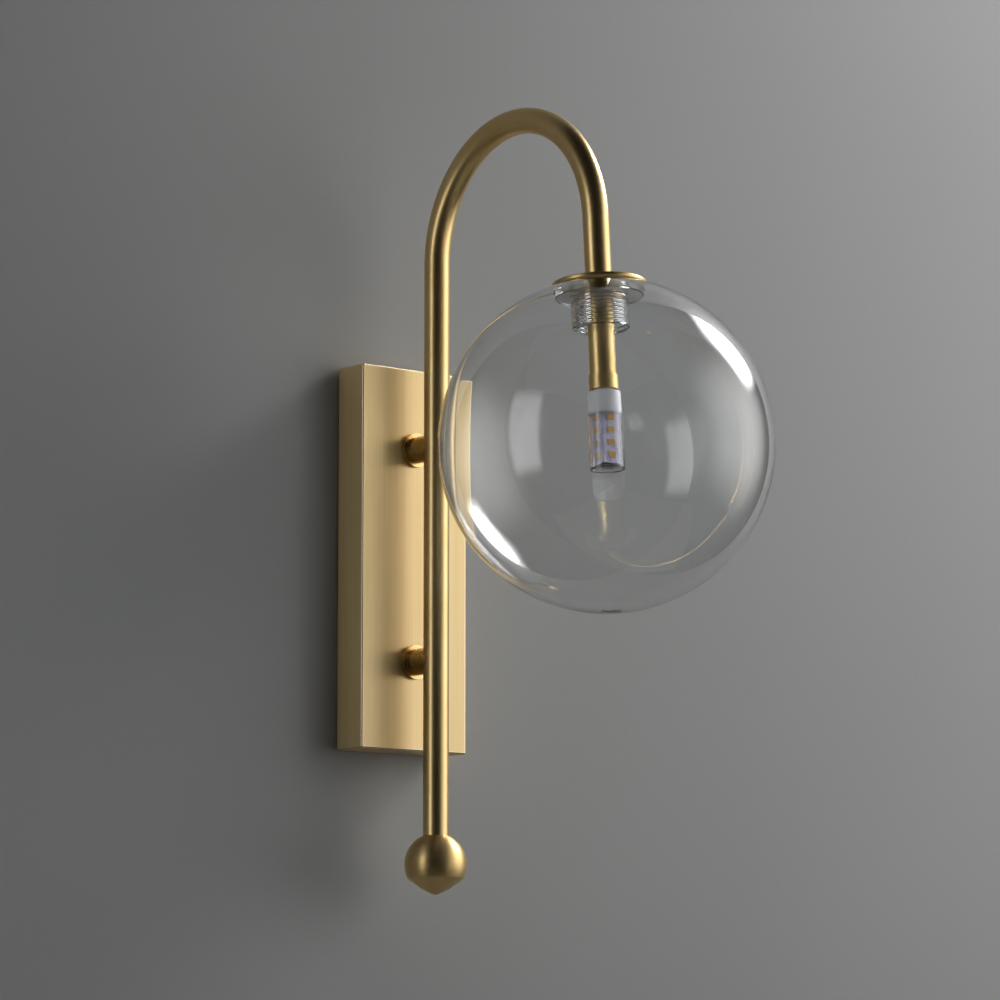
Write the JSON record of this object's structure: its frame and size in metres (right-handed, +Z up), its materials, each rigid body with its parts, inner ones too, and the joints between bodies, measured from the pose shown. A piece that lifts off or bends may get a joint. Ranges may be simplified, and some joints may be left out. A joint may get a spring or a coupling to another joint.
{
  "type": "globe wall sconce",
  "caption": "Wall light: upright box backplate, tube on stand-offs bent over in an arch, and a clear glass globe screwed up round a small LED capsule lamp.",
  "frame": {"origin": "midpoint between the two wall screws, on the wall's surface", "axes": "+X to the right seen from the room, +Y into the wall, +Z up"},
  "size_m": [0.15, 0.235, 0.3586],
  "materials": {
    "satin_brass": "satin, brushed",
    "plain_brass": "turned",
    "zinc_steel": "zinc plated",
    "tinned_copper": "tinned",
    "black_rubber": "matt",
    "clear_silicone": "translucent",
    "block_nylon": "matt",
    "brown_wire": "matt",
    "blue_wire": "matt",
    "green_yellow_wire": "matt",
    "white_ceramic": "glazed",
    "clear_glass": "clear, polished",
    "white_base": "matt",
    "clear_lens": "clear",
    "pale_board": "matt",
    "led_phosphor": "satin",
    "pin_steel": "plated"
  },
  "bodies": {
    "fixed_frame": {"backplate_cover": "satin_brass", "upper_standoff": "satin_brass", "lower_standoff": "satin_brass", "upper_standoff_flange": "satin_brass", "lower_standoff_flange": "satin_brass", "arm_tube": "satin_brass", "finial_ball": "satin_brass", "cap_disc": "satin_brass", "socket_tube": "satin_brass", "socket_collar": "satin_brass", "globe_thread_ring": "plain_brass", "cap_nipple": "plain_brass", "upper_stud": "plain_brass", "lower_stud": "plain_brass", "finial_stud": "plain_brass", "terminal_inserts": "plain_brass", "lampholder_contacts": "plain_brass", "wall_strap": "zinc_steel", "stud_lock_washers": "zinc_steel", "stud_nuts": "zinc_steel", "block_screws": "zinc_steel", "earth_screw": "zinc_steel", "earth_washer": "zinc_steel", "terminal_screws": "zinc_steel", "cover_screws": "zinc_steel", "earth_lug": "tinned_copper", "cable_grommet": "black_rubber", "terminal_block": "block_nylon", "live_wire": "brown_wire", "neutral_wire": "blue_wire", "earth_wire": "green_yellow_wire", "lampholder_core": "white_ceramic"},
    "seal": {"globe_seal": "clear_silicone"},
    "globe": {"glass_globe": "clear_glass"},
    "lamp": {"bulb_base": "white_base", "bulb_pins": "pin_steel", "bulb_boards": "pale_board", "bulb_chips": "led_phosphor", "bulb_lens": "clear_lens"}
  },
  "joints": [
    {"name": "globe_drop", "type": "slide", "parent": "fixed_frame", "child": "seal", "axis": [0, -0.0668, -0.9978], "range_m": [0, 0.0073]},
    {"name": "globe_unscrew", "type": "hinge", "parent": "seal", "child": "globe", "pos_m": [0, -0.15997, 0.03648], "axis": [0, -0.0668, -0.9978], "range_deg": [0, 1440]},
    {"name": "lamp_pull", "type": "slide", "parent": "fixed_frame", "child": "lamp", "axis": [0, -0.0668, -0.9978], "range_m": [0, 0.015]}
  ],
  "couplings": [
    {"joint": "globe_drop", "follows": "globe_unscrew", "m_per_rad": 0.00028648}
  ]
}
